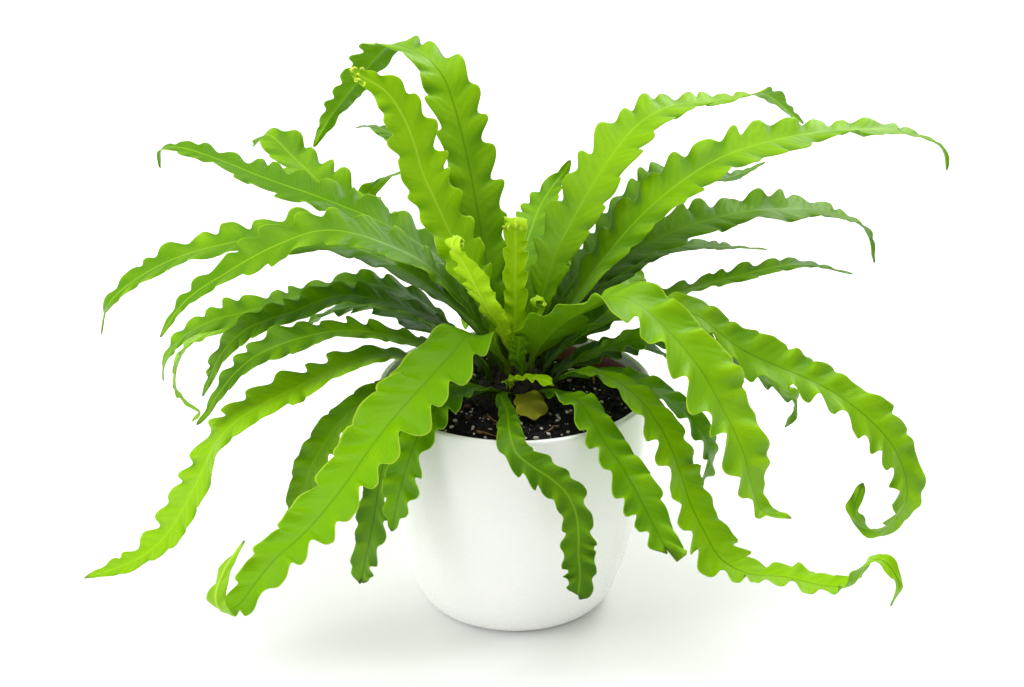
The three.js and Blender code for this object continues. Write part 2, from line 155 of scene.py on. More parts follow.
def unit(vectors):
    return vectors / np.maximum(np.linalg.norm(vectors, axis=-1), 1e-9)[..., None]


def spline(points, steps=24):
    """Many points on a smooth curve through a few. It is a centripetal Catmull-Rom curve, which doesn't
    overshoot where its points lie at uneven distances."""
    p = np.array(points, float)
    p = np.vstack([2 * p[0] - p[1], p, 2 * p[-1] - p[-2]])
    out = []
    for a, b, c, d in zip(p[:-3], p[1:-2], p[2:-1], p[3:]):
        ka, kb, kc = (math.sqrt(np.linalg.norm(v)) for v in (b - a, c - b, d - c))
        start = ((b - a) / ka - (c - a) / (ka + kb) + (c - b) / kb) * kb
        end = ((c - b) / kb - (d - b) / (kb + kc) + (d - c) / kc) * kb
        bend = 3 * c - 3 * b - 2 * start - end
        twist = 2 * b - 2 * c + start + end
        for t in np.arange(steps) / steps:
            out.append(b + start * t + bend * t**2 + twist * t**3)
    out.append(p[-2])
    return np.array(out)


print("helpers ready")

# %% [markdown]
# ## Node helpers
# Materials here are small networks of nodes. These helpers add a node, do sums with Math nodes and open the
# sockets of a node group, so that the networks below read from top to bottom.

# %% Node helpers
def add_node(tree, kind, **settings):
    node = tree.nodes.new(kind)
    for key, value in settings.items():
        setattr(node, key, value)
    return node


def feed(tree, socket, source):
    """Links a socket to another one, or sets its own value where source is a number or colour."""
    if isinstance(source, bpy.types.NodeSocket):
        tree.links.new(source, socket)
    else:
        socket.default_value = source


def calc(tree, operation, *values):
    node = add_node(tree, "ShaderNodeMath", operation=operation)
    for socket, value in zip(node.inputs, values):
        feed(tree, socket, value)
    return node.outputs[0]


def times(tree, first, second):
    return calc(tree, "MULTIPLY", first, second)


def plus(tree, first, second):
    return calc(tree, "ADD", first, second)


def without(tree, mask):
    """The mask turned round: 1 where it is 0."""
    return calc(tree, "SUBTRACT", 1.0, mask)


def blend(tree, factor, first, second):
    node = add_node(tree, "ShaderNodeMix", data_type="RGBA")
    feed(tree, node.inputs[0], factor)
    feed(tree, node.inputs[6], first)
    feed(tree, node.inputs[7], second)
    return node.outputs[2]


def tint(tree, colour, paint, mask, strength):
    """Lays a paint over a colour, as strongly as the mask and the strength say."""
    return blend(tree, times(tree, mask, strength), colour, paint)


def fade(tree, value, low, high):
    """0 where value is under low, 1 where it is over high, and a soft step between."""
    node = add_node(tree, "ShaderNodeMapRange", interpolation_type="SMOOTHSTEP")
    for socket, source in zip(node.inputs, (value, low, high, 0.0, 1.0)):
        feed(tree, socket, source)
    return node.outputs[0]


def noise_value(tree, where, scale, detail=3.0, roughness=0.5):
    node = add_node(tree, "ShaderNodeTexNoise")
    feed(tree, node.inputs["Vector"], where)
    feed(tree, node.inputs["Scale"], scale)
    node.inputs["Detail"].default_value = detail
    node.inputs["Roughness"].default_value = roughness
    return node.outputs["Fac"]


def new_group(name, inputs, outputs):
    """An empty node group with named sockets. Values that are colours open colour sockets."""
    group = bpy.data.node_groups.new(name, "ShaderNodeTree")
    for label, value in inputs.items():
        kind = "NodeSocketColor" if isinstance(value, tuple) else "NodeSocketFloat"
        group.interface.new_socket(label, in_out="INPUT", socket_type=kind).default_value = value
    for label, kind in outputs.items():
        group.interface.new_socket(label, in_out="OUTPUT", socket_type=kind)
    return group, add_node(group, "NodeGroupInput").outputs, add_node(group, "NodeGroupOutput").inputs


def new_material(name):
    material = bpy.data.materials.new(name)
    material.use_nodes = True
    return material, material.node_tree, material.node_tree.nodes["Principled BSDF"]


def use_group(tree, group, **values):
    node = add_node(tree, "ShaderNodeGroup", node_tree=group)
    for label, value in values.items():
        feed(tree, node.inputs[label.replace("_", " ")], value)
    return node.outputs


def add_bump(tree, height, strength, distance):
    node = add_node(tree, "ShaderNodeBump")
    feed(tree, node.inputs["Height"], height)
    node.inputs["Strength"].default_value = strength
    node.inputs["Distance"].default_value = distance
    return node.outputs["Normal"]


def srgb(red, green, blue):
    """A colour as it is read off a screen, 0 to 255, turned into the linear light that shaders use."""
    light = [c / 255 / 12.92 if c <= 10 else ((c / 255 + 0.055) / 1.055) ** 2.4 for c in (red, green, blue)]
    return (*light, 1.0)


print("node helpers ready")

# %% [markdown]
# ## How a frond is shaped
# A frond is a strap on a long arching midrib. It leaves the crown as a narrow stalk, opens to its full
# width, and tapers to the tip. Both halves rise a little from the midrib like a shallow trough. The edges
# have more leaf than the middle has room for, so they wave up and down, in rounded lobes with narrow
# notches between, and the waves get shorter towards the tip.
# One could model each frond by hand, or bend a strip with modifiers. Here a table holds what differs from
# frond to frond and a function does the rest, since all fronds grow by the same rule.

# %% The crown's rings and the frond's measures
RINGS = [(5, 150), (11, 144), (17, 138), (23, 132)]
STALK_CLEARANCE = 0.3
STALK_RISE = 8
STALK_HALF_WIDTH = 2.2
STALK_SHARE = 0.05
WAVE_LENGTH = 22
TIP_WAVE_LENGTH = 15
VEIN_SLANT = 2.8
WAVE_HEIGHT = 0.95
RAISED_HEIGHT = -0.5
SCALLOP = 0.2
LOBE_LEAN = 0.13
FOLD = 0.16
USUAL_WIDTH = 32
ROLL_DRIFT = 8
WIDTH_DRIFT = 0.07
print("rings at", [radius for radius, top in RINGS], "mm from the middle")

# %% [markdown]
# ## The table of fronds
# One row for each leaf: its name, the ring and azimuth of its foot, the azimuth of the plane that it arches
# in, its width, how far it rolls at the foot, middle and tip (degrees), the height of its waves, its tone,
# and the points of its midrib, out from the middle and up (millimetres), with a sideways third number where
# the rib leaves its plane. Some rows go on with the share of the length where the leaf has opened to its full
# width, the share where it starts to taper, half the width of its tip, and the radius of its coil.

# %% Table of leaves
Leaf = namedtuple(
    "Leaf", "name ring azimuth plane width roll ruffle tone points opened taper tip coil",
    defaults=(0.45, 0.5, 1.2, 0))
LEAVES = [Leaf(*row) for row in (
    ("frond_01", 1, 187, 176, 38, (0, 6, 20), 4, "mid",
     [(28, 176), (48, 195), (84, 216), (125, 225), (168, 219), (208, 204), (238, 180), (244, 161)], 0.38),
    ("frond_02", 1, 217, 189, 33, (5, 15, 20), 3.5, "mid",
     [(45, 208), (72, 227), (106, 238), (134, 231), (163, 216), (186, 201), (202, 180)]),
    ("frond_03", 2, 150, 154, 33, (0, 4, 10), 4, "mid",
     [(42, 200), (76, 219), (124, 231), (165, 238), (203, 246), (228, 249), (242, 245), (243, 234)]),
    ("frond_04", 2, 128, 136, 32, (0, 8, 10), 3.5, "mid",
     [(50, 176), (75, 187), (104, 197), (131, 206), (153, 213), (170, 221), (195, 232), (218, 241),
      (234, 230)], 0.45, 0.75),
    ("frond_05", 3, 126, 122, 26, (0, 0, 0), 3, "mid",
     [(45, 164), (80, 175), (111, 183), (150, 188), (178, 193), (188, 199, -6), (186, 206, -14),
      (180, 212, -26)], 0.45, 0.6),
    ("frond_06", 1, 121, 134, 33, (40, 2, -45), 4, "mid",
     [(18, 188), (25, 208), (34, 240, -1), (44, 270, -2), (54, 293, -3), (63, 308, -3), (74, 316, -2),
      (88, 320), (106, 319), (119, 309), (138, 289), (159, 268), (173, 251), (181, 240)], 0.33, 0.45),
    ("frond_07", 1, 158, 190, 29, (10, 60, 60), 4, "bright",
     [(20, 197), (34, 225), (41, 241), (47, 256), (53, 271), (57, 287), (64, 305), (72, 317), (80, 323),
      (91, 329)], 0.42, 0.72),
    ("frond_08", 2, 107, 120, 24, (0, 0, 0), 2.5, "dark",
     [(32, 182), (60, 212), (105, 238), (150, 247), (185, 244), (205, 238)]),
    ("frond_09", 1, 96, 83, 23, (0, 0, 10), 2.5, "mid",
     [(17, 172), (30, 190), (48, 203), (67, 210, -2), (84, 215, -4), (97, 219, -7), (110, 223, -11),
      (115, 229, -16), (116, 237, -20)], 0.45, 0.6),
    ("frond_10", 1, 48, 43, 33, (0, -10, 30), 4, "mid",
     [(23, 189), (33, 211), (45, 226), (59, 242), (77, 259), (94, 271), (110, 277), (128, 279), (146, 277),
      (171, 274), (196, 272), (213, 270), (227, 262), (240, 252), (254, 242)], 0.28, 0.35),
    ("frond_11", 1, 10, 20, 35, (0, -15, 0), 4.5, "mid",
     [(27, 170), (51, 203), (82, 235), (122, 259), (163, 268), (205, 269), (246, 264), (276, 250),
      (280, 236)], 0.35, 0.4),
    ("frond_12", 2, 50, 50, 24, (0, 0, 0), 2.5, "dark",
     [(41, 176), (64, 192), (88, 206), (112, 219), (132, 228), (150, 229), (170, 222), (202, 210), (238, 207),
      (258, 208)]),
    ("frond_13", 2, 28, 27, 34, (0, -10, -10), 3.5, "dark",
     [(36, 176), (60, 197), (97, 212), (151, 218), (206, 211), (246, 192), (255, 168)]),
    ("frond_14", 3, 34, 35, 22, (0, 0, 0), 2, "dark",
     [(40, 168), (77, 190), (110, 197), (154, 189), (193, 179)]),
    ("frond_15", 2, 6, 10, 22, (0, 0, 0), 2.5, "dark",
     [(50, 172), (93, 186), (131, 195), (169, 200), (202, 192)]),
    ("frond_16", 1, -32, -32, 45, (32, -5, 0), 4.5, "bright",
     [(16, 164), (28, 179), (43, 192), (58, 203), (72, 206), (92, 197), (119, 174), (134, 153), (147, 131),
      (154, 110), (161, 98), (178, 99)], 0.12, 0.68),
    ("frond_17", 2, -18, -9, 32, (0, -20, -50), 3.5, "mid",
     [(60, 186), (100, 188), (129, 168), (187, 142), (220, 111), (229, 78), (214, 57), (201, 68),
      (204, 88)], 0.45, 0.62, 2.5),
    ("frond_18", 3, -2, -4, 20, (0, -15, 0), 2.5, "mid",
     [(60, 164), (98, 168), (129, 156), (150, 140), (163, 130), (158, 114)], 0.45, 0.9),
    ("frond_19", 3, -38, -42, 29, (0, 0, 0), 3.5, "mid",
     [(45, 158), (70, 162), (92, 155), (110, 139), (120, 123), (129, 104), (140, 89), (152, 77), (170, 75),
      (194, 82), (221, 87), (235, 94), (244, 111), (253, 114), (262, 105), (259, 91)]),
    ("frond_20", 3, -20, -25, 22, (0, 0, 0), 2.5, "mid",
     [(45, 152), (80, 151), (103, 141), (119, 124), (119, 104), (108, 86)], 0.45, 0.8, 7),
    ("frond_21", 3, -54, -57, 25, (0, 10, 0), 3, "mid",
     [(42, 146), (66, 150), (78, 143), (90, 135), (103, 129), (116, 121), (127, 112), (137, 104), (145, 98),
      (151, 94)], 0.45, 0.8, 8),
    ("frond_22", 3, 18, 12, 22, (0, -10, 0), 2.5, "dark",
     [(40, 149), (68, 154), (86, 150), (98, 136)]),
    ("frond_23", 3, -96, -90, 17, (0, 0, 0), 2.5, "dark",
     [(42, 148, -8), (56, 146, -5), (72, 146, -4), (86, 145, -3), (96, 140, 0), (102, 135, 8), (106, 130, 18),
      (108, 122, 27), (110, 112, 32), (111, 99, 34), (112, 87, 34), (112, 73, 35),
      (112, 59, 34)], 0.6, 0.9, 6),
    ("frond_24", 1, 243, 234, 41, (0, 0, 10), 4.5, "bright",
     [(29, 172), (44, 183), (60, 177), (84, 168), (108, 159), (132, 147), (154, 134), (169, 127), (187, 120),
      (210, 115), (227, 107), (237, 102), (248, 104), (252, 114), (245, 126), (230, 136)], 0.25, 0.3),
    ("frond_25", 3, 250, 236, 22, (0, 0, 0), 2.5, "mid",
     [(46, 151), (76, 153), (96, 140), (111, 118), (121, 94)], 0.45, 0.8),
    ("frond_26", 3, 236, 224, 22, (0, 0, 0), 2, "dark",
     [(46, 143), (80, 145), (99, 126), (110, 88), (121, 51)], 0.45, 0.85, 7),
    ("frond_27", 3, 222, 211, 24, (0, 5, 10), 2.5, "dark",
     [(36, 145), (56, 150), (80, 152), (108, 144), (130, 121), (142, 95), (153, 72)], 0.45, 0.7),
    ("frond_28", 3, 208, 206, 27, (0, 5, 10), 3, "mid",
     [(50, 157), (64, 165), (84, 171), (104, 170), (124, 164), (142, 159), (157, 154), (170, 148), (182, 138),
      (190, 124), (197, 112), (205, 99), (217, 85), (231, 77), (246, 74), (261, 73)], 0.45, 0.75),
    ("frond_29", 3, 194, 203, 23, (0, 10, 10), 2.5, "dark",
     [(46, 165), (70, 177), (92, 185), (111, 188), (130, 187), (142, 185), (154, 181), (165, 174), (174, 165),
      (180, 157), (184, 151), (190, 146)], 0.45, 0.6),
    ("frond_30", 2, 209, 187, 23, (0, 10, 30), 2.5, "dark",
     [(36, 172), (55, 184), (76, 192), (95, 197), (110, 195), (125, 189), (142, 184), (154, 179), (164, 170),
      (172, 159), (176, 149), (181, 139)], 0.45, 0.6),
    ("frond_31", 2, 188, 169, 24, (0, 5, 30), 3, "mid",
     [(45, 175), (58, 185), (78, 192), (98, 192), (118, 186), (139, 178), (160, 170), (181, 163), (199, 153),
      (211, 141), (217, 129), (218, 120)], 0.45, 0.7),
    ("frond_32", 2, 169, 160, 22, (0, 0, 30), 2.5, "bright",
     [(47, 164), (69, 175), (92, 179), (118, 175), (145, 163), (172, 151), (197, 142), (215, 130), (225, 114),
      (227, 98), (220, 90), (211, 84), (217, 77)], 0.45, 0.7),
    ("frond_33", 2, 82, 80, 37, (0, 0, 0), 3.5, "dark",
     [(50, 180), (100, 193), (150, 186), (190, 154), (210, 112)]),
    ("frond_34", 3, 106, 100, 37, (0, 0, 0), 3.5, "mid",
     [(50, 160), (95, 172), (145, 162), (182, 127), (195, 90)]),
    ("frond_35", 3, 70, 62, 35, (0, 0, 0), 3.5, "mid",
     [(50, 162), (95, 174), (145, 156), (185, 112)]),
    ("frond_36", 3, 88, 84, 35, (0, 0, 0), 3.5, "dark",
     [(50, 154), (95, 160), (140, 140), (172, 105), (186, 72)]),
    ("frond_37", 3, 52, 44, 30, (0, 0, 0), 3, "dark",
     [(50, 152), (90, 160), (130, 150), (155, 130)]),
    ("frond_38", 3, 148, 150, 30, (0, 0, 0), 3, "dark",
     [(50, 156), (90, 166), (130, 156), (155, 135)]),
    ("young_frond_1", 0, 244, 236, 21, (0, 5, 5), 2.5, "young",
     [(9, 166), (16, 179), (28, 194), (39, 211), (51, 229), (61, 241)], 0.45, 0.45, 1.2, 4),
    ("young_frond_2", 0, 95, 90, 13, (0, 0, 0), 2.5, "young",
     [(7, 180), (9, 205), (9, 235)], 0.35, 0.85, 1.2, 4.5),
    ("young_frond_3", 1, 290, 276, 11, (0, 0, 0), 2, "dark",
     [(13, 158), (17, 167), (23, 177)], 0.7, 0.8),
    ("young_frond_4", 0, 10, 15, 7, (0, 0, 0), 0.5, "young",
     [(10, 168), (17, 186)], 0.45, 0.8, 1.2, 4),
    ("small_leaf", 2, -100, -30, 10, (0, 0, 0), 1.5, "young",
     [(8, 150, -23), (14, 152, -24), (19, 154, -24), (26, 155, -23), (33, 155, -23),
      (38, 153, -22)], 0.65, 0.85, 3.5),
    ("old_leaf", 3, -78, -76, 18, (0, 0, 0), 1.5, "old",
     [(28, 140.5), (34, 138), (39, 135.5), (44, 133.5)], 0.6, 0.7),
)]
print("leaves:", len(LEAVES))

# %% [markdown]
# ## The midrib
# The stalk leaves its step on the crown straight up and then runs through the row's own points. A young
# frond is still rolled up at its tip, so there the path goes on into a coil that tightens as it turns.

# %% Midrib
COIL_STEPS = 11
COIL_TURN = 0.7
COIL_TIGHTENING = 0.9


def coil_points(before, last, radius):
    """Points of a tightening coil that goes on from two points of (out, up, sideways)."""
    heading = math.atan2(last[1] - before[1], last[0] - before[0])
    out, up, sway = last
    points = []
    for _ in range(COIL_STEPS):
        heading += COIL_TURN
        out += radius * COIL_TURN * math.cos(heading)
        up += radius * COIL_TURN * math.sin(heading)
        radius *= COIL_TIGHTENING
        points.append((out, up, sway))
    return points


def midrib(leaf):
    """The midrib as many points in millimetres, and how far along it each one is."""
    radius, top = RINGS[leaf.ring]
    foot = direction(leaf.azimuth) * radius + np.array([0, 0, top + STALK_CLEARANCE])
    route = [(*point, 0)[:3] for point in leaf.points]
    if leaf.coil:
        route += coil_points(route[-2], route[-1], leaf.coil)
    outwards, sideways = direction(leaf.plane), direction(leaf.plane + 90)
    path = [foot, foot + np.array([0, 0, STALK_RISE])]
    path += [outwards * out + sideways * sway + np.array([0, 0, up]) for out, up, sway in route]
    curve = spline(path)
    steps = np.linalg.norm(np.diff(curve, axis=0), axis=1)
    return curve, np.concatenate([[0], np.cumsum(steps)])


longest = max(LEAVES, key=lambda leaf: midrib(leaf)[1][-1])
print("longest leaf:", longest.name, round(midrib(longest)[1][-1]), "mm")

# %% [markdown]
# ## The blade's surface
# At each station along the midrib a row of points runs from edge to edge. What happens to a point depends
# on how far out it is: near the rib the blade is calm, and the waves grow towards the edge. They run
# slantwise from the rib to the edge, as the side veins do. The edge itself swells out in lobes that lean
# towards the tip, with narrow notches between. On some fronds the lobes droop, and on others they rise.
# No two waves are alike, and the two edges wave on their own. So their length, height and depth drift along
# the frond, and a shorter ripple lies over them.
# The surface also carries numbers for the shader: the distance from the foot and from the rib, whether a
# spot is on a crest or in a dip, and which face is the underside.

# %% Blade surface
STATION_STEP = 1.25
ACROSS = np.array([0, 0.05, 0.12, 0.24, 0.38, 0.52, 0.66, 0.8, 0.92, 1.0])
ACROSS = np.concatenate([-ACROSS[:0:-1], ACROSS])


TIP_START = 0.985
TIP_LENGTH = 0.015


def half_width(leaf, t):
    """Half the blade's width at the shares t of its length: stalk, full width, taper and rounded tip."""
    opening = np.sin(math.pi / 2 * np.clip((t - STALK_SHARE) / (leaf.opened - STALK_SHARE), 0, 1)) ** 1.5
    half = STALK_HALF_WIDTH + (leaf.width / 2 - STALK_HALF_WIDTH) * opening
    past = np.clip((t - leaf.taper) / (1 - leaf.taper), 0, None) ** 1.8
    end = np.sqrt(np.clip(1 - ((t - TIP_START) / TIP_LENGTH).clip(0) ** 2, 0.04, 1))
    return (leaf.tip + (half - leaf.tip) * (1 - past)) * end


def turn_about(vectors, axes, angles):
    """Each vector turned about its own axis, which is square to it, by its own angle."""
    return vectors * np.cos(angles)[:, None] + np.cross(axes, vectors) * np.sin(angles)[:, None]


def drift(u, draw, period):
    """A slow random curve between about -1 and 1 over distances u, in millimetres."""
    curve = 0
    for share in (1.0, 0.61, 0.37):
        length = period * share * draw.uniform(0.9, 1.1)
        curve = curve + np.sin(2 * math.pi * u / length + draw.uniform(0, 6.3))
    return curve / 2


def edge_wave(u, length, width, out, draw):
    """One half of the blade, each as stations x points out: the wave, the lobes of its edge, and how far in
    millimetres the lobes lean towards the tip. Narrow and short leaves have shorter waves."""
    each = WAVE_LENGTH + (TIP_WAVE_LENGTH - WAVE_LENGTH) * u / length
    each = each * (0.45 + 0.55 * width / USUAL_WIDTH)
    each = each * min(1, 0.3 + length / 120)
    turns = 1 / (each * (1 + 0.38 * drift(u, draw, 55)))
    along = np.concatenate([[0], np.cumsum(turns[1:] * np.diff(u))]) + draw.random()
    phase = 2 * math.pi * along[:, None] - VEIN_SLANT * out
    ripple = np.maximum(0.66 + 0.45 * drift(u, draw, 75), 0.35)
    fine = 0.06 + 0.08 * drift(u, draw, 50)
    pinch = 0.2 * np.cos(2 * phase - 0.8) - np.cos(phase - 0.4)
    wave = ripple[:, None] * pinch * out**1.3
    wave = wave + fine[:, None] * np.sin(2 * phase + 1) * out**3
    strength = np.maximum(0.74 + 0.38 * drift(u, draw, 65), 0.4)
    lobes = (np.cos(phase) - 0.16 * np.cos(2 * phase)) * strength[:, None]
    return wave, lobes * out**2.5, LOBE_LEAN * each[:, None] * lobes * out**2


def frond_names(*numbers):
    return {"frond_%02d" % number for number in numbers}


# The lobes of these fronds rise, and those of the others droop.
RAISED_LOBES = frond_names(*range(1, 16), *range(28, 33))
# Blunt tips that end in teeth: how far five points across the tip are cut back, in millimetres.
TORN_TIPS = {
    "frond_20": (0, 2, 1, 3, 4),
    "frond_21": (4, 1, 5, 1, -5),
    "frond_23": (3, 2, 2, 0, -1),
    "frond_26": (1, 0, 3, 1, 4),
    "small_leaf": (2, 0, 0, 1, 2),
}
WHOLE_TIP = (0, 0, 0, 0, 0)


def blade_rows(leaf, draw):
    """The blade's middle surface: its points, the direction that its upper face looks in, and the numbers
    for the shader, each as stations x points across."""
    curve, distance = midrib(leaf)
    t = np.linspace(0, 1, max(12, round(distance[-1] / STATION_STEP)))
    u = t * distance[-1]
    slope = np.gradient(curve, axis=0)
    centre, tangent = (np.stack([np.interp(u, distance, v[:, k]) for k in range(3)], 1)
                       for v in (curve, slope))
    tangent = unit(tangent)
    turned = np.radians(leaf.azimuth + (leaf.plane - leaf.azimuth) * smooth(t / 0.25) + 90)
    side = np.stack([np.cos(turned), np.sin(turned), 0 * turned], 1)
    side = unit(side - tangent * (side * tangent).sum(1)[:, None])
    beyond_foot = smooth((t - 0.2) / 0.3)
    at_foot, at_middle, at_tip = leaf.roll
    rolls = at_foot + (at_middle - at_foot) * smooth(2 * t) + (at_tip - at_middle) * smooth(2 * t - 1)
    rolls = rolls + ROLL_DRIFT * beyond_foot * drift(u, draw, 110)
    side = turn_about(side, tangent, -np.radians(rolls))
    up = np.cross(tangent, side)

    x = ACROSS[None, :]
    out = np.abs(x)
    halves = [edge_wave(u, distance[-1], leaf.width, out, draw) for _ in range(2)]
    wave, lobe, lean = (np.where(x < 0, left, right) for left, right in zip(*halves))
    breadth = half_width(leaf, t) * (1 + WIDTH_DRIFT * beyond_foot * drift(u, draw, 70))
    height = WAVE_HEIGHT * leaf.ruffle * smooth((t - 0.04) / 0.14) * (breadth / (leaf.width / 2)) ** 0.8
    height = height * (RAISED_HEIGHT if leaf.name in RAISED_LOBES else 1)
    waved = smooth((t[:, None] - 0.06) / 0.14) * smooth((1 - t[:, None]) / 0.06)
    half = breadth[:, None] * (1 + SCALLOP * lobe * waved)
    lift = FOLD * half * out + height[:, None] * wave
    surface = centre[:, None] + side[:, None] * (x * half)[..., None] + up[:, None] * lift[..., None]
    teeth = np.interp(x, np.linspace(-1, 1, 5), TORN_TIPS.get(leaf.name, WHOLE_TIP))
    cut = teeth * smooth((t[:, None] - 0.85) / 0.15)
    forward = lean * waved * (breadth / breadth.max())[:, None] - cut
    surface += tangent[:, None] * forward[..., None]
    facing = unit(np.cross(np.gradient(surface, axis=0), np.gradient(surface, axis=1)))
    shader_numbers = {
        "from_foot": np.broadcast_to((u / 10)[:, None], half.shape),
        "from_rib": out * half / 10,
        "share": np.broadcast_to(t[:, None], half.shape),
        "edge": np.broadcast_to(out, half.shape),
        "crest": wave * np.sign(height[:, None]),
    }
    return surface, facing, shader_numbers


sample = blade_rows(LEAVES[0], np.random.default_rng(1))
print("blade of", LEAVES[0].name, "has", sample[0].shape[0], "stations of", sample[0].shape[1], "points")

# %% [markdown]
# ## A blade with two faces
# The middle surface is doubled: one copy moves up by half the thickness and one down, more along the rib,
# and a strip of faces joins them round the edge. So the mesh is closed, as a real leaf is, and can be
# printed or measured.

# %% Closed blade
BLADE_THICKNESS = 0.5
EDGE_THICKNESS = 0.3
RIB_WIDTH = 1.1
RIB_RISE = 0.25
RIB_KEEL = 0.7


def closed_faces(rows, columns):
    """Faces of two grids of points, upper then lower, joined round their border."""
    upper = np.arange(rows * columns).reshape(rows, columns)
    lower = upper + rows * columns
    top = np.stack([upper[:-1, :-1], upper[1:, :-1], upper[1:, 1:], upper[:-1, 1:]], -1).reshape(-1, 4)
    bottom = np.stack([lower[:-1, :-1], lower[:-1, 1:], lower[1:, 1:], lower[1:, :-1]], -1).reshape(-1, 4)
    ring = np.concatenate([upper[0, :-1], upper[:-1, -1], upper[-1, :0:-1], upper[:0:-1, 0]])
    following = np.roll(ring, -1)
    border = np.stack([ring, following, following + rows * columns, ring + rows * columns], -1)
    return np.concatenate([top, bottom, border]).tolist()


def add_numbers(piece, name, values):
    layer = piece.data.attributes.new(name, "FLOAT", "POINT")
    layer.data.foreach_set("value", np.asarray(values, np.float32).ravel())


# How far a leaf is paler (above 0) or darker than its tone. These listed shades are partly the leaf's own
# tone and partly painted light: leaves that lie in shade are painted paler and strongly lit ones darker. The
# rest get a small random shade.
TONE_AND_LIGHT_SHADES = {
    "frond_01": -1.0, "frond_02": -1.0, "frond_03": -1.4, "frond_05": 0.8, "frond_06": 0.9, "frond_07": 0.5,
    "frond_10": 1.6, "frond_11": 0.6, "frond_13": 1.2, "frond_16": -0.3, "frond_17": 0.7, "frond_19": 2.6,
    "frond_20": -1.4, "frond_21": -0.4, "frond_24": -1.6, "frond_27": 2.4, "frond_28": 2.2,
    "young_frond_1": 0.3, "young_frond_2": 1.2,
}
# The rib of these fronds is painted as a dark line, painted shade of a furrow along it, and that of the
# others as a pale one.
SHADED_RIBS = frond_names(6, 16, 17, 18, 19, 20, 21, 24, 25, 26)


def make_leaf(leaf, material):
    draw = np.random.default_rng(sum(map(ord, leaf.name)) * 7 + len(leaf.points))
    surface, facing, numbers = blade_rows(leaf, draw)
    rib = np.exp(-((numbers["from_rib"] * 10 / RIB_WIDTH) ** 2)) * (1 - 0.6 * numbers["share"])
    blade = BLADE_THICKNESS + (EDGE_THICKNESS - BLADE_THICKNESS) * numbers["edge"] ** 4
    above = surface + facing * (blade / 2 + RIB_RISE * rib)[..., None]
    below = surface - facing * (blade / 2 + RIB_KEEL * rib)[..., None]
    points = np.concatenate([above.reshape(-1, 3), below.reshape(-1, 3)]) * MM
    piece = mesh_piece(leaf.name, points, closed_faces(*surface.shape[:2]))
    for name, values in numbers.items():
        add_numbers(piece, name, np.tile(np.ravel(values), 2))
    add_numbers(piece, "underside", np.repeat([0.0, 1.0], surface.shape[0] * surface.shape[1]))
    shade = TONE_AND_LIGHT_SHADES.get(leaf.name, draw.uniform(-0.6, 0.6))
    add_numbers(piece, "shade", np.full(len(points), shade))
    add_numbers(piece, "sunken", np.full(len(points), float(leaf.name in SHADED_RIBS)))
    place_piece(piece, leaf.name, material)
    return piece


print("blade thickness", BLADE_THICKNESS, "mm")

# %% [markdown]
# ## The skin of a leaf
# Seen close, a blade has a rib, fine side veins and soft pleats that run slantwise to the edge, darker and
# lighter patches, pale specks and a thin pale rim. Crests are painted paler, as a painted highlight, and the
# pleat bands are painted darker, as painted shade. On some fronds the rib is painted as a dark line, painted
# shade of a furrow along it. The blade is painted darker towards its foot, as painted shade near the crown.
# The foot itself turns brown, and the very tip is brown too. The underside is duller.
# All five tones of leaf share this skin, so it is one node group. Each material gives it its own colours.

# %% Leaf skin group
def leaf_number(tree, name):
    """A number that the blade's points carry."""
    return add_node(tree, "ShaderNodeAttribute", attribute_name=name).outputs["Fac"]


PLEAT_SPACING = 0.6


